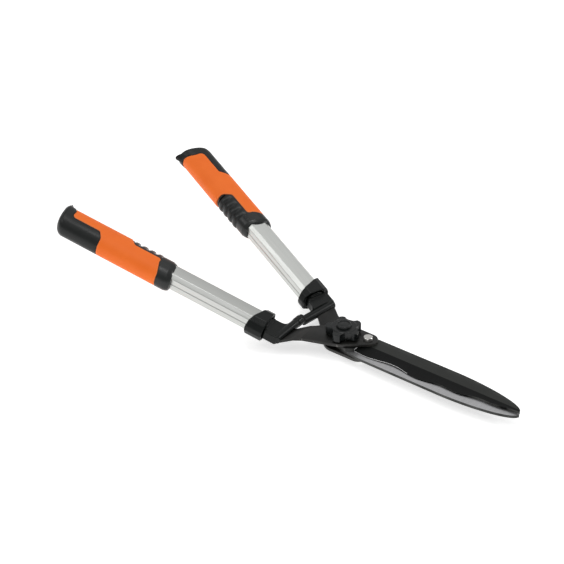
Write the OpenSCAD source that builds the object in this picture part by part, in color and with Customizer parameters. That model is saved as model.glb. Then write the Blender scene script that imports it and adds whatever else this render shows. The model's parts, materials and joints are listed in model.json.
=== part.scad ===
// Hedge shears with wavy blades, cranked steel arms, aluminium tube handles and two-colour grips.
// Origin: pivot axis at the flat underside of the pivot bolt's head. +X runs to the blade tips,
// +Y to the left handle and +Z up through the adjusting knob. The shears are drawn closed.
// The left half carries the lower blade. The right half carries the upper blade and is its mirror
// image, apart from the layers at the pivot and the height of its handle.

/* [Blades] */
// Distance from the pivot to the blade tip
blade_reach = 230; // [210:1:250]
// Thickness of a blade
blade_t = 3.5; // [3:0.1:4]
// Distance from the pivot line to the straight spine
spine_offset = 20.2; // [18:0.1:22]
// Mean distance from the pivot line to the cutting edge, near the pivot
edge_offset = 11.4; // [10:0.1:13]
// Half height of the waves in the cutting edge
wave_height = 2.2; // [0:0.1:3]
// Distance from the spine to the start of the ground bevel
flat_band = 17.5; // [14:0.1:19]
// Thickness left at the cutting edge
edge_t = 0.5; // [0.4:0.1:1.2]

/* [Arms] */
// Thickness of an arm plate
arm_t = 3.5; // [3:0.1:4]
// Radius of the arm's round front end
arm_nose_r = 10.6; // [9:0.1:10.8]
// Distance from the pivot to the blade bolt
bolt_x = 28; // [26:0.5:30]

/* [Pivot] */
// Diameter of the pivot bolt
pivot_d = 10; // [8:0.5:11]
// Height of the pivot bolt's head
head_h = 5.6; // [4.5:0.1:7]
// Thickness of the washer on the pivot bolt's head
head_washer_t = 1.4; // [1:0.1:2]
// Overall diameter of the adjusting knob
knob_d = 42; // [38:1:44]
// Height of the knob's lobes
knob_h = 10; // [9:0.5:13]

/* [Handles] */
// Angle between a handle and the X axis, seen from above
handle_spread = 15.4; // [14:0.1:19]
// Angle by which a handle rises from the blades
handle_rise = 18.3; // [14:0.1:22]
// Length of a handle from the front of its collar to the middle of its butt
handle_len = 279; // [265:1:290]
// Width of the handle tube
tube_w = 25.8; // [25:0.1:27]
// Height of the handle tube
tube_h = 22.4; // [22:0.1:23.4]
// Wall thickness of the handle tube
tube_wall = 1.5; // [1.2:0.1:2]

/* [Grips] */
// Length of a grip
grip_len = 153; // [145:1:157]
// Width of a grip
grip_w = 39.8; // [39:0.1:42]
// Height of a grip
grip_h = 30; // [29.5:0.1:32]
// Number of raised finger ribs
rib_count = 4; // [3:1:4]

/* [Hidden] */

// Clearance between a part and the pocket it sits in, and between a shaft and its hole.
fit = 0.1;
run = 0.05;
far = 400;

// Heights. The blades meet at mate_z.
mate_z = head_h + head_washer_t + arm_t + blade_t;
stack_t = blade_t + arm_t;
top_z = mate_z + stack_t;
pivot_r = pivot_d / 2;
bush_r = pivot_r + 2;
head_r = 9.8;
head_washer_r = 12;

// Knob: lobes over a recess that hides the washers.
knob_lobes = 5;
knob_phase = 64;
knob_lift = 1.6;
knob_z = top_z + knob_lift;
recess_r = 11.5;
flat_washer_t = 1.5;
spring_washer_t = 1.8;
thrust_washer_t = 0.8;
washer_r = 10.5;
spring_washer_r = 8.5;
washer_gap = 0.25;
recess_h = flat_washer_t + spring_washer_t + thrust_washer_t - knob_lift;
cap_r = 8.8;
cap_h = 3;
cap_rim = 2.2;
insert_r = 7.5;
thread_end = knob_z + knob_h - 2.5;
insert_end = thread_end + 0.8;

// Handles. A handle's own frame has X backwards along the tube, Y towards the other handle and Z up.
collar_x = -76.4;
collar_y = 43.3;
left_rise = 4;
right_rise = 8.2;
collar_len = 15;
collar_slant = 19;
collar_w = 38.4;
collar_h = 28.2;
collar_recess = 2;
collar_lip = 2;
grip_start = handle_len - grip_len;
tube_start = collar_recess + 0.2;
grip_drop = 1;
skin_side = 3.2;
skin_top = 1.6;
tube_end = handle_len - 17;
tang_w = 18;
tang_front = -23;
tang_back = 30;
spigot_end = 36;
bracket_t = 11;
neck_w = 24;
neck_t = 14;

// Front bead of a bracket, level, drawn for the left half from above.
bead_r = 5.5;
bead_drop = 4.3;
bead_out = [-57.1, 52.1];
bead_in_x = -61.6;
meet_y = 1.4;
meet_gap = 0.15;
bumper_t = 3.6;
sleeve_r = 6;
sleeve_len = 9;

black = [0.11, 0.12, 0.12];
steel = [0.72, 0.72, 0.70];
silver = [0.78, 0.78, 0.77];
orange = [0.94, 0.46, 0.20];

// ---- Outlines ----

function unit(v) = v / norm(v);
function xy(p) = [p[0], p[1]];

// Arc that rounds the corner b between a and c with the radius in b[2].
function corner(a, b, c, n) =
    let (u = unit(xy(a) - xy(b)),
        w = unit(xy(c) - xy(b)),
        half = acos(u * w) / 2,
        middle = xy(b) + unit(u + w) * b[2] / sin(half),
        first = xy(b) + u * b[2] / tan(half) - middle,
        last = xy(b) + w * b[2] / tan(half) - middle,
        start = atan2(first[1], first[0]),
        turn = atan2(first[0] * last[1] - first[1] * last[0], first * last))
    [for (k = [0:n]) middle + b[2] * [cos(start + turn * k / n), sin(start + turn * k / n)]];

// Outline through corner points [x, y, radius], each corner rounded.
function rounded(p, n = 8) =
    [for (i = [0:len(p) - 1]) each corner(p[(i + len(p) - 1) % len(p)], p[i], p[(i + 1) % len(p)], n)];

// Squarish oval of half width a and half height b.
function oval(a, b, n = 48, power = 2.3) =
    [for (k = [0:n - 1]) let (c = cos(360 * k / n), s = sin(360 * k / n))
        [a * sign(c) * pow(abs(c), 2 / power), b * sign(s) * pow(abs(s), 2 / power)]];

// ---- Frames ----

// Draws the left half's child, or its mirror image for the right half.
module half(side) {
    if (side == "left") children();
    else mirror([0, 1, 0]) children();
}

// Flips the layers at the pivot: the left half hangs under mate_z, the right half lies over it.
module layer(side) {
    translate([0, 0, mate_z])
        if (side == "left") mirror([0, 0, 1]) children();
        else children();
}

function handle_z(side) = mate_z + (side == "left" ? left_rise : right_rise);

module handle_frame(side) {
    half(side) translate([collar_x, collar_y, handle_z(side)])
        rotate([0, 0, 180 - handle_spread]) rotate([0, -handle_rise, 0]) children();
}

// Extrudes a section drawn in Y and Z along X.
module along_x(from, to) {
    translate([from, 0, 0]) rotate([90, 0, 90]) linear_extrude(to - from) children();
}

// ---- Blades ----

tip_start = 140;
edge_bend = 128;
tang_r = 14;
edge_start = 24;
blade_step = 3;

function tip_ratio(x) = max(0, (x - tip_start) / (blade_reach - tip_start));
function spine_y(x) = -spine_offset * sqrt(max(0, 1 - pow(tip_ratio(x), 1.8)));
// The waves get shorter and lower towards the tip.
function wave_turns(x) = 0.012 * (x - 38) + 0.0000359 * pow(x - 38, 2);
function fade(x, start) = max(0, min(1, 1 - (x - start) / (blade_reach - 2 - start)));
function edge_y(x) = edge_offset * fade(x, edge_bend) + wave_height * fade(x, 120) * cos(360 * wave_turns(x));

module blade_outline() {
    last = blade_reach - 0.5;
    curve = last - tip_start;
    polygon(concat(
        [for (a = [90:15:270]) tang_r * [cos(a), sin(a)]],
        [[14, -18]],
        [for (x = [36:8:tip_start]) [x, spine_y(x)]],
        [for (t = [0.1:0.1:0.8]) [tip_start + t * curve, spine_y(tip_start + t * curve)]],
        [for (t = [0.85:0.03:1]) [tip_start + t * curve, spine_y(tip_start + t * curve)]],
        [[blade_reach, 0]],
        [for (x = [blade_reach - 2:-blade_step:edge_start]) [x, edge_y(x)]],
        [[14, 18]]));
}

// Blade drawn for the right half's layer: mating face at Z = 0, ground bevel on the outer face.
// The spine is on the -Y side here, as on the left half seen from above.
module blade() {
    bevel_y = flat_band - spine_offset;
    difference() {
        linear_extrude(blade_t) blade_outline();
        rotate([90, 0, 90]) linear_extrude(far) polygon([
            [bevel_y, blade_t],
            [edge_offset + wave_height + 1, edge_t],
            [far, edge_t],
            [far, far],
            [bevel_y, far]]);
    }
}

// Solid tang kept at full thickness behind the start of the bevel.
module tang() {
    intersection() {
        linear_extrude(blade_t) blade_outline();
        translate([-far, -far, 0]) cube([far + edge_start, 2 * far, far]);
    }
}

module whole_blade(side) {
    color(black) half(side) layer(side)
        difference() {
            union() {
                blade();
                tang();
            }
            translate([0, 0, -1]) cylinder(h = blade_t + 2, r = hole_r(side), $fn = 64);
            translate([bolt_x, bolt_y, -1]) cylinder(h = blade_t + 2, r = bolt_r + run, $fn = 48);
        }
}

// The bush turns on the bolt in the right half; the left half sits on the bolt itself.
function hole_r(side) = side == "left" ? pivot_r + run : bush_r + run;

bolt_r = 3;
bolt_y = -8;
bolt_head_h = 4;
bolt_head_r = 5.8;

module blade_bolt(side) {
    color(steel) half(side) layer(side) translate([bolt_x, bolt_y, 0]) {
        translate([0, 0, stack_t]) cylinder(h = bolt_head_h, r = bolt_head_r, $fn = 6);
        translate([0, 0, 0.3]) cylinder(h = stack_t, r = bolt_r, $fn = 48);
    }
}

// ---- Arms ----

crank_start = -41;
crank_end = -53;
crank_drop = 6.4;

arm_points = [
    [38.3, -20, arm_nose_r],
    [38.3, -4, arm_nose_r],
    [8.8, 20.1, 30],
    [-32.4, 35.5, 25],
    [-55, 51.5, 1.5],
    [-58.5, 24, 1.5],
    [-36, 5, 30],
    [-13, -20.3, 20]];

module arm_outline() {
    polygon(rounded(arm_points));
}

// Side view of the crank that takes the plate from its layer to the middle of the handle.
module crank_profile(flat_z, end_z) {
    polygon([
        [60, flat_z - arm_t / 2],
        [60, flat_z + arm_t / 2],
        [crank_start, flat_z + arm_t / 2],
        [crank_end, end_z + arm_t / 2],
        [-70, end_z + arm_t / 2],
        [-70, end_z - arm_t / 2],
        [crank_end, end_z - arm_t / 2],
        [crank_start, flat_z - arm_t / 2]]);
}

function flat_z(side) = (side == "left" ? -1 : 1) * (blade_t + arm_t / 2);
// Heights over mate_z of the bead's axis and of the middle of the arm where it passes under the bead.
function bead_z(side) = handle_z(side) - mate_z - bead_drop;
function crank_z(side) = handle_z(side) - mate_z - crank_drop;

module arm_plate(side) {
    half(side) translate([0, 0, mate_z]) intersection() {
        translate([0, 0, -50]) linear_extrude(100) arm_outline();
        rotate([90, 0, 0]) translate([0, 0, -100]) linear_extrude(200)
            crank_profile(flat_z(side), crank_z(side));
    }
}

module arm(side) {
    color(black) difference() {
        union() {
            arm_plate(side);
            handle_frame(side) translate([tang_front, -tang_w / 2, -arm_t / 2])
                cube([tang_back - tang_front, tang_w, arm_t]);
        }
        translate([0, 0, -1]) cylinder(h = 40, r = hole_r(side), $fn = 64);
        half(side) translate([bolt_x, bolt_y, -1]) cylinder(h = 40, r = bolt_r + run, $fn = 48);
        handle_frame(side) tang_screw_places()
            cylinder(h = 40, r = tang_screw_r + run, center = true, $fn = 32);
    }
}

// ---- Brackets ----

tang_screw_r = 2.5;
tang_screw_x = [-13, -4];

module tang_screw_places() {
    for (x = tang_screw_x) translate([x, 0, 0]) children();
}

// Body of a bracket in the handle's frame, seen from above.
bracket_points = [
    [-0.3, -15.5, 2],
    [-0.3, 13, 2],
    [-16.5, 13, 7.5],
    [-19.5, 33, 2],
    [-26, 34, 1],
    [-18, -15.5, 3]];

// Distance from the X axis to the bead's inner end.
function bead_end(side) = side == "left" ? meet_y + meet_gap : bumper_t - meet_y;

module bead(side) {
    length = norm([bead_out[0] - bead_in_x, bead_out[1] - bead_end(side)]);
    turn = atan2(bead_in_x - bead_out[0], bead_out[1] - bead_end(side));
    half(side) intersection() {
        translate([bead_out[0], bead_out[1], mate_z + bead_z(side)]) rotate([90, 0, turn]) {
            cylinder(h = length + 2, r = bead_r, $fn = 48);
            if (side == "right") translate([0, 0, length - sleeve_len])
                cylinder(h = sleeve_len + 2, r = sleeve_r, $fn = 48);
        }
        translate([-far, bead_end(side), -far]) cube(2 * far);
    }
}

module bracket(side) {
    color(black) difference() {
        union() {
            handle_frame(side) {
                translate([0, 0, -bracket_t / 2]) linear_extrude(bracket_t)
                    polygon(rounded(bracket_points));
                along_x(-3, tube_start - fit) square([neck_w, neck_t], center = true);
                along_x(0, spigot_end)
                    polygon(oval(tube_w / 2 - tube_wall - fit, tube_h / 2 - tube_wall - fit));
            }
            bead(side);
        }
        arm_pocket(side);
        handle_frame(side) tang_screw_places() {
            translate([0, 0, -bracket_t])
                cylinder(h = bracket_t + arm_t / 2 + fit, r = tang_screw_r + run, $fn = 32);
            translate([0, 0, -bracket_t])
                cylinder(h = bracket_t / 2 + screw_head_h + fit, r = screw_head_r + fit, $fn = 32);
        }
        handle_frame(side) collar_screw_place()
            cylinder(h = collar_screw_len + 1, r = collar_screw_r + run, $fn = 32);
    }
}

// Room for the arm inside the bracket.
module arm_pocket(side) {
    handle_frame(side) translate([tang_front - 5, -tang_w / 2 - fit, -arm_t / 2 - fit])
        cube([tang_back - tang_front + 5 + fit, tang_w + 2 * fit, arm_t + 2 * fit]);
    half(side) translate([0, 0, mate_z]) intersection() {
        translate([0, 0, -50]) linear_extrude(100) offset(delta = fit) arm_outline();
        rotate([90, 0, 0]) translate([0, 0, -100]) linear_extrude(200)
            offset(delta = fit) crank_profile(flat_z(side), crank_z(side));
    }
}

screw_head_h = 2.2;
screw_head_r = 4.2;

module tang_screws(side) {
    color(steel) handle_frame(side) tang_screw_places() {
        translate([0, 0, -bracket_t / 2]) cylinder(h = bracket_t / 2 + arm_t / 2, r = tang_screw_r, $fn = 32);
        translate([0, 0, -bracket_t / 2]) cylinder(h = screw_head_h, r = screw_head_r, $fn = 32);
    }
}

// ---- Bumper between the two brackets, on the right half ----

module bumper() {
    color(black) half("right") translate([bead_in_x, bumper_t - meet_y, mate_z + bead_z("right")])
        rotate([90, 0, 0]) cylinder(h = bumper_t, r = bead_r - 0.3, $fn = 48);
}

// ---- Collars ----
// The back edge of a collar slants, so that the collar is longest on its outer side.

collar_screw_r = 2;
collar_screw_x = 8.5;
collar_screw_len = 9;
collar_screw_head_r = 3.8;
collar_screw_head_h = 1.6;
// Material left between the head and the tube.
collar_web = 1.3;

// Underside of the head, on the tube's flat lower wall.
module collar_screw_place() {
    translate([collar_screw_x, 0, -tube_h / 2 - collar_web]) children();
}

collar_section = [
    [8.5, collar_h / 2, 3],
    [collar_w * 0.41, collar_h * 0.365, 3],
    [collar_w / 2, 3, 4],
    [collar_w / 2, -3, 4],
    [collar_w * 0.41, -collar_h * 0.365, 3],
    [8.5, -collar_h / 2, 3],
    [-8.5, -collar_h / 2, 3],
    [-collar_w * 0.41, -collar_h * 0.365, 3],
    [-collar_w / 2, -3, 4],
    [-collar_w / 2, 3, 4],
    [-collar_w * 0.41, collar_h * 0.365, 3],
    [-8.5, collar_h / 2, 3]];

module collar(side) {
    color(black) handle_frame(side) difference() {
        along_x(0, 2 * collar_len) polygon(rounded(collar_section, 3));
        along_x(-1, 2 * collar_len + 1) offset(delta = fit) tube_outline();
        translate([collar_len, 0, 0]) rotate([0, 0, collar_slant]) translate([0, -50, -50]) cube(100);
        along_x(-1, collar_recess) offset(delta = -collar_lip) polygon(rounded(collar_section, 3));
        collar_screw_place() translate([0, 0, -2]) cylinder(h = 8, r = collar_screw_r + run, $fn = 32);
        collar_screw_place() translate([0, 0, -10]) cylinder(h = 10, r = collar_screw_head_r + fit, $fn = 32);
    }
}

module collar_screw(side) {
    color(steel) handle_frame(side) collar_screw_place() {
        translate([0, 0, -collar_screw_head_h])
            cylinder(h = collar_screw_head_h, r = collar_screw_head_r, $fn = 32);
        translate([0, 0, -0.1]) cylinder(h = collar_screw_len + 0.1, r = collar_screw_r, $fn = 32);
    }
}

// ---- Tubes ----

groove = 0.5;
tube_section = [
    [8.2, tube_h / 2, 1],
    [tube_w / 2, 7.3, 1.5],
    [tube_w / 2, groove + 0.3, 0.2],
    [tube_w / 2 - groove, 0, 0.2],
    [tube_w / 2, -groove - 0.3, 0.2],
    [tube_w / 2, -7.3, 1.5],
    [8.2, -tube_h / 2, 1]];

module tube_outline() {
    other = [for (i = [len(tube_section) - 1:-1:0])
        [-tube_section[i][0], tube_section[i][1], tube_section[i][2]]];
    polygon(rounded(concat(tube_section, other), 3));
}

module tube(side) {
    color(silver) handle_frame(side) difference() {
        along_x(tube_start, tube_end) tube_outline();
        along_x(tube_start - 1, tube_end + 1)
            polygon(oval(tube_w / 2 - tube_wall, tube_h / 2 - tube_wall));
        collar_screw_place() cylinder(h = collar_screw_len, r = collar_screw_r + run, $fn = 32);
    }
}

// ---- Grips ----

lip_len = 8;
// The ends of a grip lean back on the side of the other handle.
lean = 0.2;
butt_start = handle_len - 11;

// Areas of the pads on the grip, seen from above in the handle's frame.
palm_area = rounded([
    [grip_start + 94, -40, 1],
    [grip_start + 94, -13, 6],
    [grip_start + 101, -4, 4],
    [butt_start - 2.5, -4, 6],
    [butt_start - 1.5, 8, 10],
    [butt_start + 6, 20, 4],
    [butt_start + 7, 40, 1],
    [handle_len + 30, 40, 1],
    [handle_len + 30, -40, 1]]);

finger_area = rounded([
    [grip_start - 20, -40, 1],
    [grip_start + 14.2, -40, 1],
    [grip_start + 14.4, -17, 6],
    [grip_start + 20.5, -3, 5],
    [grip_start + 21, 3.5, 4],
    [grip_start + 57, 3.5, 5],
    [grip_start + 65.5, 12.5, 8],
    [grip_start + 68.5, 40, 1],
    [grip_start - 20, 40, 1]]);

module in_area(points) {
    intersection() {
        children();
        translate([0, 0, -50]) linear_extrude(100) polygon(points);
    }
}

module not_in_area(points) {
    difference() {
        children();
        translate([0, 0, -50]) linear_extrude(100) offset(delta = fit) polygon(points);
    }
}

// The grip's axis lies a little under the tube's.
module core_section(extra = 0) {
    translate([0, -grip_drop])
        polygon(oval(grip_w / 2 - skin_side + extra, grip_h / 2 - skin_top + extra));
}

module grip_section(extra = 0) {
    translate([0, -grip_drop]) polygon(oval(grip_w / 2 + extra, grip_h / 2 + extra));
}

// The finger pad is slimmer than the grip on the side of the other handle.
finger_inset = 1.6;

module finger_section(extra = 0) {
    translate([-finger_inset / 2, -grip_drop])
        polygon(oval((grip_w - finger_inset) / 2 + extra, grip_h / 2 + extra));
}

// Thin leaning slice of a section at x, moved towards the other handle by y and up by z.
module slice(x, y = 0, z = 0) {
    multmatrix([[1, lean, 0, x], [0, 1, 0, y], [0, 0, 1, z], [0, 0, 0, 1]])
        along_x(-0.25, 0.25) children();
}

module grip_core(side) {
    color(black) handle_frame(side) difference() {
        along_x(grip_start + lip_len, tube_end + 3) core_section();
        along_x(grip_start, tube_end + fit) offset(delta = fit) tube_outline();
    }
}

module overmould(side) {
    color(orange) handle_frame(side)
        not_in_area(finger_area) not_in_area(palm_area) difference() {
            along_x(grip_start, butt_start + 8) grip_section();
            along_x(grip_start - 1, tube_end + 3 + fit) core_section(fit);
        }
}

// Butt: domed, with a low flange all round.
module butt() {
    hull() {
        slice(butt_start - 4) grip_section();
        slice(butt_start + 5, 0.6) grip_section(0.4);
        slice(handle_len - 2.6, 1.6, 0.6) grip_section(0.2);
        slice(handle_len + 0.4, 1.6, 0.6) grip_section(-2.6);
        slice(handle_len + 2, 1.2, 0.8) grip_section(-7.5);
    }
    beak();
}

// Beak on the butt that points towards the other handle.
module beak() {
    hull() {
        slice(handle_len - 9, 9) grip_section(-9);
        slice(handle_len + 0.9, 16.4, 3.2) grip_section(-9.6);
        slice(handle_len + 1.4, 6, 1) grip_section(-7.5);
    }
}

module palm_pad(side) {
    color(black) handle_frame(side) difference() {
        in_area(palm_area) union() {
            along_x(grip_start, butt_start) grip_section();
            butt();
        }
        along_x(grip_start - 1, tube_end + 3 + fit) core_section(fit);
    }
}

rib_pitch = 10.5;
rib_len = 6;
first_rib = grip_start + 23.4;

module lip() {
    hull() {
        slice(grip_start + 0.25) finger_section(-2.3);
        slice(grip_start + 3) finger_section(-0.9);
        slice(grip_start + lip_len - 1) finger_section();
        slice(grip_start + 16) finger_section();
    }
}

module finger_pad(side) {
    color(black) handle_frame(side) difference() {
        in_area(finger_area) union() {
            along_x(grip_start + lip_len, grip_start + 72) finger_section();
            lip();
            for (i = [0:rib_count - 1]) translate([first_rib + i * rib_pitch, 1, 0])
                along_x(0, rib_len) grip_section(-0.9);
        }
        along_x(grip_start - 10, grip_start + lip_len + 0.1) offset(delta = fit) tube_outline();
        along_x(grip_start + lip_len - fit, grip_start + 80) core_section(fit);
    }
}

// ---- Pivot ----

module pivot_bolt() {
    color(steel) {
        cylinder(h = head_h, r = head_r, $fn = 6);
        cylinder(h = thread_end, r = pivot_r, $fn = 64);
    }
}

module washer(z, h, inner, outer) {
    translate([0, 0, z]) difference() {
        cylinder(h = h, r = outer, $fn = 64);
        translate([0, 0, -1]) cylinder(h = h + 2, r = inner, $fn = 64);
    }
}

module pivot_head_washer() {
    color(steel) washer(head_h, head_washer_t, pivot_r + run, head_washer_r);
}

module pivot_bush() {
    color(steel) washer(mate_z, stack_t, pivot_r + run, bush_r);
}

module knob_flat_washer() {
    color(steel) washer(top_z, flat_washer_t, pivot_r + washer_gap, washer_r);
}

// Split spring washer, drawn pressed flat.
module knob_spring_washer() {
    split = 1.2;
    color(steel) difference() {
        washer(top_z + flat_washer_t, spring_washer_t, pivot_r + washer_gap, spring_washer_r);
        translate([0, -split / 2, 0]) cube([20, split, 2 * top_z]);
    }
}

module knob_thrust_washer() {
    color(steel)
        washer(top_z + flat_washer_t + spring_washer_t, thrust_washer_t, pivot_r + washer_gap, washer_r);
}

module knob_insert() {
    color(steel) washer(knob_z + recess_h, insert_end - knob_z - recess_h, pivot_r + run, insert_r);
}

module knob_body() {
    lobe_r = 7.2;
    lobe_at = knob_d / 2 - lobe_r;
    flute_r = 9.5;
    flute_at = knob_d / 2 + 3.2;
    hub_r = 14.5;
    color(black) translate([0, 0, knob_z]) difference() {
        union() {
            cylinder(h = knob_h, r = hub_r, $fn = 64);
            for (i = [0:knob_lobes - 1]) rotate(knob_phase + i * 360 / knob_lobes) {
                translate([lobe_at, 0, 0]) cylinder(h = knob_h - 0.6, r = lobe_r, $fn = 48);
                translate([0, -lobe_r, 0]) cube([lobe_at, 2 * lobe_r, knob_h - 0.6]);
            }
        }
        for (i = [0:knob_lobes - 1]) rotate(knob_phase + (i + 0.5) * 360 / knob_lobes)
            translate([flute_at, 0, -1]) cylinder(h = knob_h + 2, r = flute_r, $fn = 48);
        translate([0, 0, -1]) cylinder(h = recess_h + 1, r = recess_r, $fn = 64);
        cylinder(h = insert_end - knob_z, r = insert_r + run, $fn = 64);
    }
}

module knob_cap() {
    color(black) translate([0, 0, knob_z + knob_h]) difference() {
        cylinder(h = cap_h, r1 = cap_r, r2 = cap_r - 0.6, $fn = 64);
        translate([0, 0, cap_h - 0.5]) cylinder(h = 1, r = cap_r - cap_rim, $fn = 64);
    }
}

pivot_bolt();
pivot_head_washer();
pivot_bush();
knob_flat_washer();
knob_spring_washer();
knob_thrust_washer();
knob_insert();
knob_body();
knob_cap();
whole_blade("left");  // left_blade
blade_bolt("left");  // left_blade_bolt
arm("left");  // left_arm
bracket("left");  // left_bracket
tang_screws("left");  // left_tang_screws
collar("left");  // left_collar
collar_screw("left");  // left_collar_screw
tube("left");  // left_tube
grip_core("left");  // left_grip_core
overmould("left");  // left_overmould
palm_pad("left");  // left_palm_pad
finger_pad("left");  // left_finger_pad
whole_blade("right");  // right_blade
blade_bolt("right");  // right_blade_bolt
arm("right");  // right_arm
bracket("right");  // right_bracket
tang_screws("right");  // right_tang_screws
collar("right");  // right_collar
collar_screw("right");  // right_collar_screw
tube("right");  // right_tube
grip_core("right");  // right_grip_core
overmould("right");  // right_overmould
palm_pad("right");  // right_palm_pad
finger_pad("right");  // right_finger_pad
bumper();
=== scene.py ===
import bpy, bmesh, math, json
from mathutils import Matrix, Vector


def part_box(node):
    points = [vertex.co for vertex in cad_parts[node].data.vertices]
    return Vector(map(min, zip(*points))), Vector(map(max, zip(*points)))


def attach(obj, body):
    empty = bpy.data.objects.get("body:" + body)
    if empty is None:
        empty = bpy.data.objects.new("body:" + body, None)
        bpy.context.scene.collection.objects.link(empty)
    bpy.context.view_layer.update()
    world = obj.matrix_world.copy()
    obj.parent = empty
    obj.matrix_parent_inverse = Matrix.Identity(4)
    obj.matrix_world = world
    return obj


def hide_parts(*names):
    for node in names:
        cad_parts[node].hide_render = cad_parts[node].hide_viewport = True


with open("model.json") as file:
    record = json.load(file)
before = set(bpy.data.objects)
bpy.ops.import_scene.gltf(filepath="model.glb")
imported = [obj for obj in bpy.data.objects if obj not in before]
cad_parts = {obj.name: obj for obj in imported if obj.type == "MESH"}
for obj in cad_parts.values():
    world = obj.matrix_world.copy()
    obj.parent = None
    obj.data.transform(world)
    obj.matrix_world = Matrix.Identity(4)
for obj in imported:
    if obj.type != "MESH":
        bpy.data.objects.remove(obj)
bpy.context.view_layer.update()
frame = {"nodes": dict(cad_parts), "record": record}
MM = 0.001

# ---------------------------------------------------------------- sizes of the CAD part, in mm
MATE_Z = 14.0            # the plane where the two blades meet
BLADE_T = 3.5
ARM_T = 3.5
BLADE_REACH = 230.0
SPINE_OFFSET = 20.2
EDGE_OFFSET = 11.4
WAVE_HEIGHT = 2.2
FLAT_BAND = 17.5         # width of the unground band along the spine
EDGE_T = 0.5
TIP_START = 140.0
TANG_R = 14.0
EDGE_START = 24.0
BOLT_X, BOLT_Y = 28.0, 8.0
TUBE_W, TUBE_H, TUBE_WALL = 25.8, 22.4, 1.5
TUBE_START, TUBE_END = 2.2, 262.0
COLLAR_X, COLLAR_Y = -76.4, 43.3
SPREAD, RISE = 15.4, 18.3   # degrees
HANDLE_Z = {"left": MATE_Z + 4.0, "right": MATE_Z + 8.2}
GRIP_START = 126.0
FIRST_RIB = GRIP_START + 23.4
RIB_PITCH, RIB_LEN, RIB_COUNT = 10.5, 6.0, 4

# ---------------------------------------------------------------- visual details, in mm
MATE_GAP = 0.04          # keeps each blade off the plane where the two meet
BREAK = 0.3              # broken edge along a blade's spine
HONE = 0.4               # width of the honed facet at the cutting edge
LINE_END = 96.0          # the bright line of the honed facet ends here
HOLLOW_GRIND = ((0.25, 0.16), (0.5, 0.22), (0.75, 0.16))   # place across the bevel, depth
HOLLOW_DEPTH = 1.3       # extra depth of the hollows between the finger ribs
TUBE_BREAK = 0.35
TUBE_BANDS = 40
HEAD_R, HEAD_H, SHANK_R = 5.8, 4.0, 3.0
ROUND = 96               # points on a turned outline

BODY = {name: body for body, names in frame["record"]["behaviour"]["bodies"].items()
        for name in names}
SLOT = {sp["node"]: sp["material_slot"] for sp in frame["record"]["subparts"]}


def handle_matrix(side):
    """The handle's own frame in metres: X back along the tube, Y to the other handle, Z up."""
    m = (Matrix.Translation(Vector((COLLAR_X, COLLAR_Y, HANDLE_Z[side])) * MM)
         @ Matrix.Rotation(math.radians(180 - SPREAD), 4, "Z")
         @ Matrix.Rotation(math.radians(-RISE), 4, "Y"))
    if side == "right":
        m = Matrix.Scale(-1, 4, (0, 1, 0)) @ m
    return m


def rise(value, start, run):
    """0 up to start, then a straight rise to 1 over run."""
    return min(1.0, max(0.0, (value - start) / run))


# ---------------------------------------------------------------- materials
class Nodes:
    """A small helper that adds shader nodes and links them. A value is a socket or a constant."""

    def __init__(self, name):
        self.material = bpy.data.materials.new(name)
        self.material.use_nodes = True
        self.tree = self.material.node_tree
        self.shader = self.tree.nodes["Principled BSDF"]
        self.coords = self.add("ShaderNodeTexCoord").outputs["Object"]

    def add(self, kind, **inputs):
        node = self.tree.nodes.new(kind)
        for key, value in inputs.items():
            self.feed(node, key.replace("_", " "), value)
        return node

    def feed(self, node, key, value):
        socket = node.inputs[key]
        if isinstance(value, bpy.types.NodeSocket):
            self.tree.links.new(value, socket)
        else:
            socket.default_value = value

    def set(self, **inputs):
        for key, value in inputs.items():
            self.feed(self.shader, key.replace("_", " "), value)

    def scaled(self, scale, turns=()):
        """Object coordinates, turned by each rotation in order and then stretched."""
        vector = self.coords
        for turn in turns:
            node = self.add("ShaderNodeMapping", Vector=vector, Rotation=turn)
            vector = node.outputs["Vector"]
        return self.add("ShaderNodeMapping", Vector=vector, Scale=scale).outputs["Vector"]

    def noise(self, vector, scale, detail, roughness=0.55):
        node = self.add("ShaderNodeTexNoise", Vector=vector, Scale=scale, Detail=detail,
                        Roughness=roughness)
        return node.outputs["Fac"]

    def ramp(self, value, low, high, first=0.0, last=1.0):
        node = self.add("ShaderNodeMapRange", Value=value)
        for key, v in (("From Min", low), ("From Max", high), ("To Min", first), ("To Max", last)):
            node.inputs[key].default_value = v
        return node.outputs["Result"]

    def product(self, a, b):
        node = self.tree.nodes.new("ShaderNodeMath")
        node.operation = "MULTIPLY"
        self.feed(node, 0, a)
        self.feed(node, 1, b)
        return node.outputs[0]

    def mix(self, factor, first, second):
        """Colour mix. Inputs 6 and 7 and output 2 are the Mix node's colour sockets."""
        node = self.tree.nodes.new("ShaderNodeMix")
        node.data_type = "RGBA"
        self.feed(node, 0, factor)
        for index, value in ((6, first), (7, second)):
            if not isinstance(value, bpy.types.NodeSocket):
                value = (*value, 1)
            self.feed(node, index, value)
        return node.outputs[2]

    def bump(self, height, strength, distance):
        node = self.add("ShaderNodeBump", Height=height, Strength=strength, Distance=distance)
        return node.outputs["Normal"]

    def pointiness(self):
        """Above 0.5 on outer edges, below it in hollows."""
        return self.add("ShaderNodeNewGeometry").outputs["Pointiness"]

    def axis_mm(self, which, sign=1):
        """One object coordinate in millimetres."""
        axis = self.add("ShaderNodeSeparateXYZ", Vector=self.coords).outputs[which]
        return self.product(axis, sign / MM)


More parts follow.
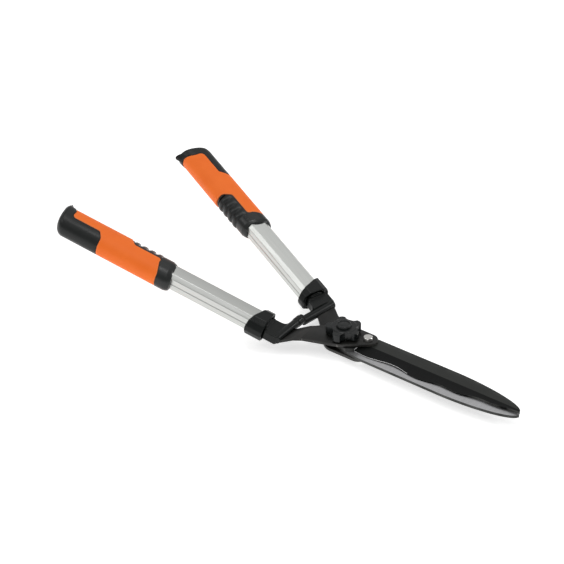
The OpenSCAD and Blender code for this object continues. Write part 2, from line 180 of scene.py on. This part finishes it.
def plastic(name, colour, worn, rough, grain, specular, depth=0.00004):
    """Moulded black plastic or rubber: fine grain, faint patches, lighter edges."""
    n = Nodes(name)
    fine = n.noise(n.coords, grain, 2.0)
    patches = n.noise(n.coords, 60.0, 4.0)
    tone = n.mix(n.ramp(patches, 0.35, 0.7), colour, tuple(c * 1.25 for c in colour))
    edge = n.product(n.ramp(n.pointiness(), 0.53, 0.6), n.ramp(patches, 0.3, 0.62, 0.25, 1.0))
    n.set(Base_Color=n.mix(edge, tone, worn),
          Roughness=n.ramp(patches, 0.3, 0.7, rough - 0.05, rough + 0.07),
          Specular_IOR_Level=specular, Normal=n.bump(fine, 0.35, depth))
    return n.material


def metal(name, colour, dark, rough, scale, stretch=(1, 1, 1), turns=(), spread=0.06,
          depth=0.00001):
    """Bare metal with lines drawn out along the axis with the smallest stretch, and faint stains."""
    n = Nodes(name)
    lines = n.noise(n.scaled(stretch, turns), scale, 4.0, 0.65)
    stains = n.noise(n.coords, 35.0, 4.0)
    tone = n.mix(n.ramp(lines, 0.3, 0.7), dark, colour)
    tone = n.mix(n.ramp(stains, 0.5, 0.75, 0.0, 0.3), tone, dark)
    n.set(Base_Color=tone, Metallic=1.0,
          Roughness=n.ramp(lines, 0.3, 0.7, rough + spread, rough - spread),
          Normal=n.bump(lines, 0.25, depth))
    return n.material


def tube_metal(side):
    """Brushed aluminium. The turns bring the handle's own axes in line with the world's."""
    about_z = math.radians((1 if side == "right" else -1) * (180 - SPREAD))
    turns = ((0, 0, about_z), (0, math.radians(RISE), 0))
    return metal("tube_" + side, (0.60, 0.61, 0.59), (0.54, 0.55, 0.53), rough=0.33, scale=40.0,
                 stretch=(0.5, 30, 30), turns=turns, spread=0.05, depth=0.0000015)


def blade_black(side):
    """Satin black blade: lighter flat band, dark hollow-ground bevel, fine lines across it."""
    n = Nodes("blade_black_" + side)
    band = n.product(n.ramp(n.axis_mm("Y", 1 if side == "right" else -1), 2.1, 3.1),
                     n.ramp(n.axis_mm("X"), 14.0, 34.0))
    lines = n.noise(n.scaled((40, 1.5, 6)), 60.0, 4.0, 0.6)
    patches = n.noise(n.coords, 45.0, 5.0)
    ground = n.mix(n.ramp(lines, 0.35, 0.65), (0.0025, 0.003, 0.003), (0.006, 0.0066, 0.0065))
    flat = n.mix(n.ramp(patches, 0.35, 0.7), (0.014, 0.0155, 0.0135), (0.020, 0.0215, 0.019))
    worn = n.product(n.ramp(n.pointiness(), 0.54, 0.62), n.ramp(patches, 0.4, 0.6))
    n.set(Base_Color=n.mix(worn, n.mix(band, ground, flat), (0.16, 0.16, 0.155)),
          Roughness=n.ramp(patches, 0.3, 0.7, 0.30, 0.42),
          Specular_IOR_Level=n.ramp(band, 0.0, 1.0, 0.13, 0.28),
          Normal=n.bump(lines, 0.12, 0.00002))
    return n.material


def arm_black():
    """Black coated steel, worn to grey in places along its edges."""
    n = Nodes("arm_black")
    fine = n.noise(n.coords, 1400.0, 2.0)
    patches = n.noise(n.coords, 50.0, 5.0)
    tone = n.mix(n.ramp(patches, 0.35, 0.7), (0.0045, 0.0045, 0.004), (0.009, 0.0088, 0.008))
    worn = n.product(n.ramp(n.pointiness(), 0.53, 0.6), n.ramp(patches, 0.35, 0.6))
    n.set(Base_Color=n.mix(worn, tone, (0.17, 0.165, 0.155)),
          Roughness=n.ramp(patches, 0.3, 0.7, 0.32, 0.46),
          Specular_IOR_Level=0.34, Normal=n.bump(fine, 0.3, 0.00003))
    return n.material


def orange_rubber():
    """Orange overmould with painted shade that turns its hollows brown and a painted highlight that
    makes its edges paler.
    """
    n = Nodes("grip_orange")
    fine = n.noise(n.coords, 1700.0, 2.0)
    patches = n.noise(n.coords, 40.0, 4.0)
    tone = n.mix(n.ramp(patches, 0.35, 0.7), (0.95, 0.172, 0.016), (0.99, 0.195, 0.024))
    # Painted shade: hollows, where the surface curves inward, turn dark brown.
    hollow = n.ramp(n.pointiness(), 0.48, 0.42)
    # Painted highlight: edges, where the surface curves outward, turn paler orange.
    edge = n.ramp(n.pointiness(), 0.515, 0.56, 0.0, 0.8)
    tone = n.mix(edge, tone, (0.98, 0.34, 0.13))
    n.set(Base_Color=n.mix(hollow, tone, (0.30, 0.05, 0.012)),
          Roughness=n.ramp(patches, 0.3, 0.7, 0.46, 0.58),
          Specular_IOR_Level=0.25, Normal=n.bump(fine, 0.3, 0.00004))
    return n.material


MATERIALS = {
    "zinc_steel": metal("zinc_steel", (0.80, 0.79, 0.76), (0.62, 0.61, 0.59), rough=0.30,
                        scale=900.0),
    "ground_steel": metal("ground_steel", (0.60, 0.60, 0.61), (0.46, 0.46, 0.47), rough=0.36,
                          scale=60.0, stretch=(30, 2, 2)),
    "honed_edge": metal("honed_edge", (0.80, 0.80, 0.80), (0.60, 0.60, 0.60), rough=0.40,
                        scale=60.0, stretch=(30, 2, 2)),
    "tube_left": tube_metal("left"),
    "tube_right": tube_metal("right"),
    "blade_left": blade_black("left"),
    "blade_right": blade_black("right"),
    "arm_black": arm_black(),
    "knob_black": plastic("knob_black", (0.0040, 0.0052, 0.0054), (0.018, 0.020, 0.022),
                          rough=0.30, grain=1500.0, specular=0.38),
    "bracket_black": plastic("bracket_black", (0.0028, 0.0040, 0.0036), (0.010, 0.012, 0.0115),
                             rough=0.30, grain=1500.0, specular=0.24),
    "grip_black": plastic("grip_black", (0.0060, 0.0074, 0.0072), (0.020, 0.022, 0.022),
                          rough=0.36, grain=1100.0, specular=0.32),
    "finger_black": plastic("finger_black", (0.0054, 0.0068, 0.0066), (0.009, 0.010, 0.010),
                            rough=0.29, grain=1100.0, specular=0.44, depth=0.00002),
    "grip_orange": orange_rubber(),
    "bumper_rubber": plastic("bumper_rubber", (0.005, 0.005, 0.005), (0.03, 0.03, 0.03),
                             rough=0.62, grain=1300.0, specular=0.3),
}
# Slots of the record whose material has another name here.
SLOT_MATERIAL = {"tube_aluminium": "tube_left", "blade_black": "blade_left"}


# ---------------------------------------------------------------- mesh tools
def as_mesh(bm, name):
    """Turns a bmesh into a mesh and frees it."""
    mesh = bpy.data.meshes.new(name)
    bm.to_mesh(mesh)
    bm.free()
    return mesh


def new_piece(mesh, name, node, materials):
    """A visible piece that rides with the CAD node's body and takes the node's place."""
    o = bpy.data.objects.new(name, mesh)
    bpy.context.scene.collection.objects.link(o)
    for m in materials:
        mesh.materials.append(MATERIALS[m])
    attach(o, BODY[node])
    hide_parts(node)


def welded(node):
    """Copy of a CAD node's mesh with its doubled vertices joined."""
    bm = bmesh.new()
    bm.from_mesh(frame["nodes"][node].data)
    bmesh.ops.remove_doubles(bm, verts=bm.verts, dist=0.005 * MM)
    mesh = as_mesh(bm, node + "_skin")
    mesh.materials.clear()
    return mesh


def applied(mesh, *steps):
    """Runs modifiers on a mesh and returns the result. A step is (type, settings)."""
    o = bpy.data.objects.new("work", mesh)
    bpy.context.scene.collection.objects.link(o)
    for kind, settings in steps:
        m = o.modifiers.new(kind, kind)
        for key, value in settings.items():
            setattr(m, key, value)
    shown = o.evaluated_get(bpy.context.evaluated_depsgraph_get())
    done = bpy.data.meshes.new_from_object(shown)
    bpy.data.objects.remove(o)
    bpy.data.meshes.remove(mesh)
    return done


def shade(mesh, angle):
    """Smooth shading with edges sharper than the angle, in degrees, kept hard."""
    mesh.polygons.foreach_set("use_smooth", [True] * len(mesh.polygons))
    mesh.set_sharp_from_angle(angle=math.radians(angle))


def moulded(node, voxel, passes, material, reshape=None):
    """Moulded look: the CAD solid resampled at the voxel size in mm and its edges softened."""
    mesh = applied(welded(node),
                   ("REMESH", {"mode": "VOXEL", "voxel_size": voxel * MM}),
                   ("SMOOTH", {"factor": 0.5, "iterations": passes}))
    if reshape:
        reshape(mesh)
    shade(mesh, 60)
    new_piece(mesh, node + "_moulded", node, [material])


def deeper_hollows(side):
    """Reshaping for a finger pad: sinks the hollows between its ribs a little further."""
    to_world = handle_matrix(side)
    to_handle = to_world.inverted()

    def reshape(mesh):
        for v in mesh.vertices:
            p = to_handle @ v.co
            along = (p.x / MM - FIRST_RIB - RIB_LEN / 2) / RIB_PITCH
            if -0.5 < along < RIB_COUNT - 0.5:
                hollow = (0.5 - 0.5 * math.cos(2 * math.pi * along)) ** 1.5
                sink = HOLLOW_DEPTH * MM * hollow * rise(p.y / MM, 5.0, 7.0)
                p.y -= sink
                p.z -= sink * 0.5 * max(-1.0, min(1.0, p.z / MM / 6))
                v.co = to_world @ p
    return reshape


def bevelled(node, width, material, segments=2):
    """CAD solid with its sharp edges broken, width in mm."""
    bm = bmesh.new()
    mesh = welded(node)
    bm.from_mesh(mesh)
    bpy.data.meshes.remove(mesh)
    bmesh.ops.dissolve_limit(bm, angle_limit=math.radians(1.0), verts=bm.verts, edges=bm.edges)
    mesh = applied(as_mesh(bm, node + "_skin"),
                   ("BEVEL", {"width": width * MM, "segments": segments, "limit_method": "ANGLE",
                              "angle_limit": math.radians(30), "harden_normals": False}))
    shade(mesh, 35)
    new_piece(mesh, node + "_broken", node, [material])


def from_rings(rings, closed_ends=True):
    """Skin through rings of points in mm, all of equal count."""
    bm = bmesh.new()
    made = [[bm.verts.new(Vector(p) * MM) for p in ring] for ring in rings]
    count = len(made[0])
    for a, b in zip(made, made[1:]):
        for i in range(count):
            j = (i + 1) % count
            quad = [a[i], a[j], b[j], b[i]]
            if len(set(quad)) == 4:
                bm.faces.new(quad)
    if closed_ends:
        bm.faces.new(list(reversed(made[0])))
        bm.faces.new(made[-1])
    bmesh.ops.recalc_face_normals(bm, faces=bm.faces)
    return bm


def around(reach, z, centre=(0.0, 0.0)):
    """Ring of points at height z. reach gives the radius at each angle."""
    angles = [2 * math.pi * k / ROUND for k in range(ROUND)]
    return [(centre[0] + reach(t) * math.cos(t), centre[1] + reach(t) * math.sin(t), z)
            for t in angles]


# ---------------------------------------------------------------- blades
def fade(x, start):
    """1 up to start, then a straight fall to 0 just short of the tip."""
    return max(0.0, min(1.0, 1 - (x - start) / (BLADE_REACH - 2 - start)))


def spine_y(x):
    ratio = max(0.0, (x - TIP_START) / (BLADE_REACH - TIP_START))
    return -SPINE_OFFSET * math.sqrt(max(0.0, 1 - ratio ** 1.8))


def edge_y(x):
    """Cutting edge: a wave whose pitch shortens towards the tip."""
    turns = 0.012 * (x - 38) + 0.0000359 * (x - 38) ** 2
    wave = WAVE_HEIGHT * fade(x, 120) * math.cos(2 * math.pi * turns)
    return EDGE_OFFSET * fade(x, 128) + wave


def between(x, points):
    for (x0, y0), (x1, y1) in zip(points, points[1:]):
        if x <= x1:
            return y0 + (y1 - y0) * (x - x0) / (x1 - x0)
    return points[-1][1]


def tang_y(x):
    """Half width of the round end of the tang, behind the pivot."""
    return math.sqrt(max(0.0, TANG_R ** 2 - x * x))


def low_y(x):
    if x < 0:
        return -tang_y(x)
    return between(x, [(0, -TANG_R), (14, -18), (36, -SPINE_OFFSET)]) if x < 36 else spine_y(x)


def high_y(x):
    if x < 0:
        return tang_y(x)
    if x < EDGE_START:
        return between(x, [(0, TANG_R), (14, 18), (EDGE_START, edge_y(EDGE_START))])
    return edge_y(x)


def blade_stations():
    """Places along the blade, closer together at the start of the edge and at the tip."""
    xs = [-TANG_R * math.cos(math.radians(a)) for a in range(4, 90, 6)]
    xs += [float(i) for i in range(24)] + [23.9, 24.1, 24.5, 25.2, 26.0]
    xs += [27.0 + i for i in range(192)]
    return xs + [219.0 + 0.5 * i for i in range(20)] + [229.2, 229.6, 229.9]


def blade(side):
    """Blade with a hollow-ground bevel, made with its mating face down and then turned over."""
    bevel_y = FLAT_BAND - SPINE_OFFSET
    slope = (BLADE_T - EDGE_T) / (EDGE_OFFSET + WAVE_HEIGHT + 1 - bevel_y)
    rings = []
    for x in blade_stations():
        lo, hi = low_y(x), high_y(x)
        width = hi - lo
        ground = rise(x, EDGE_START, 1.2)
        c = min(BREAK, width * 0.2)
        hone = min(HONE, width * 0.25) * (0.4 + 0.6 * ground)
        edge_in = hi - hone
        mid = min(max(bevel_y, lo + 2 * c), edge_in)
        z_in = BLADE_T - ground * slope * max(0.0, edge_in - mid)
        z_out = (1 - ground) * (BLADE_T - c) + ground * max(0.25, z_in - 0.2)
        ring = [(x, lo, 0.15), (x, lo, BLADE_T - c), (x, lo + c, BLADE_T), (x, mid, BLADE_T)]
        for place, depth in HOLLOW_GRIND:
            y = mid + (edge_in - mid) * place
            drop = slope * (y - mid) + depth * min(1, width / 20)
            ring.append((x, y, BLADE_T - ground * drop))
        ring += [(x, edge_in, z_in), (x, hi, z_out), (x, hi, MATE_GAP), (x, lo + 0.15, MATE_GAP)]
        rings.append(ring)
    bm = from_rings(rings)
    black, ground_steel, honed = range(3)   # places in the piece's list of materials
    for f in bm.faces:
        f.smooth = True
        f.material_index = black
        centre, normal = f.calc_center_median() / MM, f.normal
        on_facet = (EDGE_START < centre.x < LINE_END
                    and abs(centre.y - high_y(centre.x)) < HONE * 0.8)
        on_bevel_start = (EDGE_START < centre.x < EDGE_START + 0.45) and centre.y > bevel_y
        if normal.z < -0.9:
            f.material_index = ground_steel
        elif normal.z > 0.05 and (on_facet or on_bevel_start):
            f.material_index = honed
    # The right blade lies above the mating plane and the left one below it.
    flip = Matrix.Scale(-1, 4, (0, 1, 0) if side == "right" else (0, 0, 1))
    bmesh.ops.transform(bm, matrix=Matrix.Translation((0, 0, MATE_Z * MM)) @ flip, verts=bm.verts)
    bmesh.ops.recalc_face_normals(bm, faces=bm.faces)
    node = side + "_blade"
    mesh = as_mesh(bm, node + "_ground")
    mesh.set_sharp_from_angle(angle=math.radians(12))
    new_piece(mesh, node + "_ground", node, ["blade_" + side, "ground_steel", "honed_edge"])


# ---------------------------------------------------------------- tubes
def tube_section():
    """Tube outline: flat top and bottom, sloping shoulders, a fine groove down each side."""
    w, h = TUBE_W / 2, TUBE_H / 2
    # Corners of one side as y, z and radius
    corners = [(8.2, h, 1.2), (w, 7.3, 1.6), (w, 0.8, 0.25), (w - 0.5, 0.0, 0.2),
               (w, -0.8, 0.25), (w, -7.3, 1.6), (8.2, -h, 1.2)]
    corners += [(-y, z, r) for y, z, r in reversed(corners)]
    points = []
    for i, (y, z, r) in enumerate(corners):
        a, b = corners[i - 1], corners[(i + 1) % len(corners)]
        p = Vector((y, z))
        u, v = (Vector(a[:2]) - p).normalized(), (Vector(b[:2]) - p).normalized()
        half = u.angle(v) / 2
        middle = p + (u + v).normalized() * (r / math.sin(half))
        first = p + u * r / math.tan(half) - middle
        last = p + v * r / math.tan(half) - middle
        points += [middle + first.lerp(last, k / 6).normalized() * r for k in range(7)]
    return points


def tube(side):
    """Open tube with broken edges. Its front end face, inside the collar, is painted black as shade.
    """
    section = tube_section()

    def ring(x, inset):
        across = (TUBE_W / 2 - inset) / (TUBE_W / 2)
        up = (TUBE_H / 2 - inset) / (TUBE_H / 2)
        return [(x, q.x * across, q.y * up) for q in section]
    span = TUBE_END - TUBE_START
    outer = [ring(TUBE_START, TUBE_BREAK), ring(TUBE_START + TUBE_BREAK, 0)]
    outer += [ring(TUBE_START + span * k / TUBE_BANDS, 0) for k in range(1, TUBE_BANDS)]
    outer += [ring(TUBE_END - TUBE_BREAK, 0), ring(TUBE_END, TUBE_BREAK)]
    inner = [ring(TUBE_END, TUBE_WALL), ring(TUBE_START, TUBE_WALL)]
    bm = from_rings(outer + inner + [outer[0]], closed_ends=False)
    bmesh.ops.remove_doubles(bm, verts=bm.verts, dist=0.002 * MM)
    bmesh.ops.transform(bm, matrix=handle_matrix(side), verts=bm.verts)
    bmesh.ops.recalc_face_normals(bm, faces=bm.faces)
    to_handle = handle_matrix(side).inverted()
    front_face_end = TUBE_START + TUBE_BREAK * 0.9
    # Painted shade: the front end face and its broken edge take the black plastic material instead
    # of aluminium.
    for f in bm.faces:
        if (to_handle @ f.calc_center_median()).x / MM < front_face_end:
            f.material_index = 1
    node = side + "_tube"
    mesh = as_mesh(bm, node + "_drawn")
    shade(mesh, 40)
    new_piece(mesh, node + "_drawn", node, ["tube_" + side, "bracket_black"])


# ---------------------------------------------------------------- turned parts
def hex_bolt(side):
    """Blade bolt: hexagon head with a chamfered crown on its outer end, and a plain shank."""
    up = 1 if side == "right" else -1
    centre = (BOLT_X, up * BOLT_Y)
    head_start = MATE_Z + up * (BLADE_T + ARM_T)
    head_end = head_start + up * HEAD_H
    shank_end = MATE_Z + up * 0.3
    flat = HEAD_R * math.cos(math.pi / 6)
    crown = flat * 0.94

    def ring(z, limit, cut=0.0):
        def reach(t):
            return min(flat / math.cos(t % (math.pi / 3) - math.pi / 6) - cut, limit)
        return around(reach, z, centre)
    rings = [around(lambda t: SHANK_R, z, centre) for z in (shank_end, head_start)]
    rings += [ring(head_start, HEAD_R, 0.15), ring(head_start + up * 0.2, HEAD_R)]
    for k in range(8):
        down = 1 - k / 7
        rings.append(ring(head_end - up * HEAD_H * 0.26 * down, crown + (HEAD_R - crown) * down))
    rings += [ring(head_end, flat * 0.90), ring(head_end, flat * 0.5)]
    node = side + "_blade_bolt"
    mesh = as_mesh(from_rings(rings), node + "_hex")
    shade(mesh, 32)
    new_piece(mesh, node + "_hex", node, ["zinc_steel"])


def knob_cap():
    """Round cap: raised rim round a slightly domed centre."""
    low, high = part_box("knob_cap")
    base, top, r = low.z / MM, high.z / MM, (high.x - low.x) / 2 / MM
    profile = [(0.05, top - 0.55), (2.0, top - 0.58), (4.5, top - 0.72), (r - 2.9, top - 0.95),
               (r - 2.5, top - 0.9), (r - 2.2, top - 0.35), (r - 1.9, top - 0.08), (r - 1.5, top),
               (r - 1.0, top - 0.08), (r - 0.55, top - 0.35), (r - 0.3, top - 0.8),
               (r - 0.15, top - 1.4), (r, base + 0.3), (r, base)]
    rings = [around(lambda t: radius, z) for radius, z in profile]
    mesh = as_mesh(from_rings(rings), "knob_cap_turned")
    shade(mesh, 50)
    new_piece(mesh, "knob_cap_turned", "knob_cap", ["knob_black"])


# ---------------------------------------------------------------- pieces
for side in ("left", "right"):
    blade(side)
    tube(side)
    moulded(side + "_bracket", 0.6, 5, "bracket_black")
    moulded(side + "_collar", 0.5, 2, "bracket_black")
    moulded(side + "_overmould", 0.6, 4, "grip_orange")
    moulded(side + "_palm_pad", 0.6, 6, "grip_black")
    moulded(side + "_finger_pad", 0.5, 9, "finger_black", deeper_hollows(side))
    bevelled(side + "_arm", 0.35, "arm_black")
moulded("knob_body", 0.42, 6, "knob_black")
knob_cap()
bevelled("bumper", 0.4, "bumper_rubber", segments=3)
hex_bolt("right")
hex_bolt("left")
for node, slot in SLOT.items():
    for s in frame["nodes"][node].material_slots:
        s.material = MATERIALS[SLOT_MATERIAL.get(slot, slot)]

# ---------------------------------------------------------------- camera
IMAGE_SIZE = 564
FOCAL_PIXELS = 1341.43
SENSOR = 36.0
CAMERA_PLACE = (0.7756, -1.00787, 0.857350)
CAMERA_AXES = ((0.76757, 0.64052, -0.02376),      # right
               (-0.31506, 0.40931, 0.85627),      # up
               (0.55818, -0.64977, 0.51598))      # back
camera_data = bpy.data.cameras.new("camera")
camera = bpy.data.objects.new("camera", camera_data)
bpy.context.scene.collection.objects.link(camera)
camera.matrix_world = (Matrix.Translation(CAMERA_PLACE)
                       @ Matrix(CAMERA_AXES).transposed().to_4x4())
camera_data.sensor_width = SENSOR
camera_data.lens = FOCAL_PIXELS / IMAGE_SIZE * SENSOR
camera_data.clip_start = 0.05
bpy.context.scene.camera = camera
bpy.context.scene.view_settings.view_transform = "Standard"

# ---------------------------------------------------------------- floor and light
FLOOR_REACH = 14
FLOOR_DROP = 0.0004      # keeps the floor just below the bolt head it carries
floor_mesh = bpy.data.meshes.new("floor")
floor_mesh.from_pydata([(x * FLOOR_REACH, y * FLOOR_REACH, 0)
                        for x, y in ((-1, -1), (1, -1), (1, 1), (-1, 1))], [], [(0, 1, 2, 3)])
floor = bpy.data.objects.new("floor", floor_mesh)
bpy.context.scene.collection.objects.link(floor)
floor.location.z = -FLOOR_DROP
pale = Nodes("floor_pale")
pale.set(Base_Color=(0.78, 0.78, 0.78, 1), Roughness=0.9, Specular_IOR_Level=0.1,
         Emission_Color=(1, 1, 1, 1), Emission_Strength=0.62)
floor_mesh.materials.append(pale.material)

world = bpy.data.worlds.new("studio")
bpy.context.scene.world = world
world.use_nodes = True
background = world.node_tree.nodes["Background"]
background.inputs["Color"].default_value = (1, 1, 1, 1)
background.inputs["Strength"].default_value = 0.48

LIGHT_AIM = Vector((-0.05, 0, 0.03))


def softbox(name, direction, distance, size, watts):
    """Rectangular light at a distance from the aim point, turned to face it."""
    light = bpy.data.lights.new(name, "AREA")
    light.energy = watts
    light.shape = "RECTANGLE"
    light.size, light.size_y = size
    o = bpy.data.objects.new(name, light)
    bpy.context.scene.collection.objects.link(o)
    d = Vector(direction).normalized()
    o.location = LIGHT_AIM + d * distance
    o.rotation_euler = (-d).to_track_quat("-Z", "Y").to_euler()


softbox("key", (-0.45, -0.515, 0.73), 2.2, (0.8, 0.8), 4.0)
softbox("back", (0.56, 0.65, 0.52), 2.4, (1.0, 0.3), 8.0)
softbox("top", (0.22, -0.41, 0.89), 2.3, (0.9, 0.55), 1.6)
softbox("overhead", (-0.06, 0.04, 1.0), 2.3, (1.2, 0.6), 8.5)
softbox("rear", (-0.13, 0.53, 0.84), 2.2, (1.2, 1.2), 2.0)
softbox("rear_low", (-0.62, 0.65, 0.44), 2.4, (1.2, 0.8), 0.4)
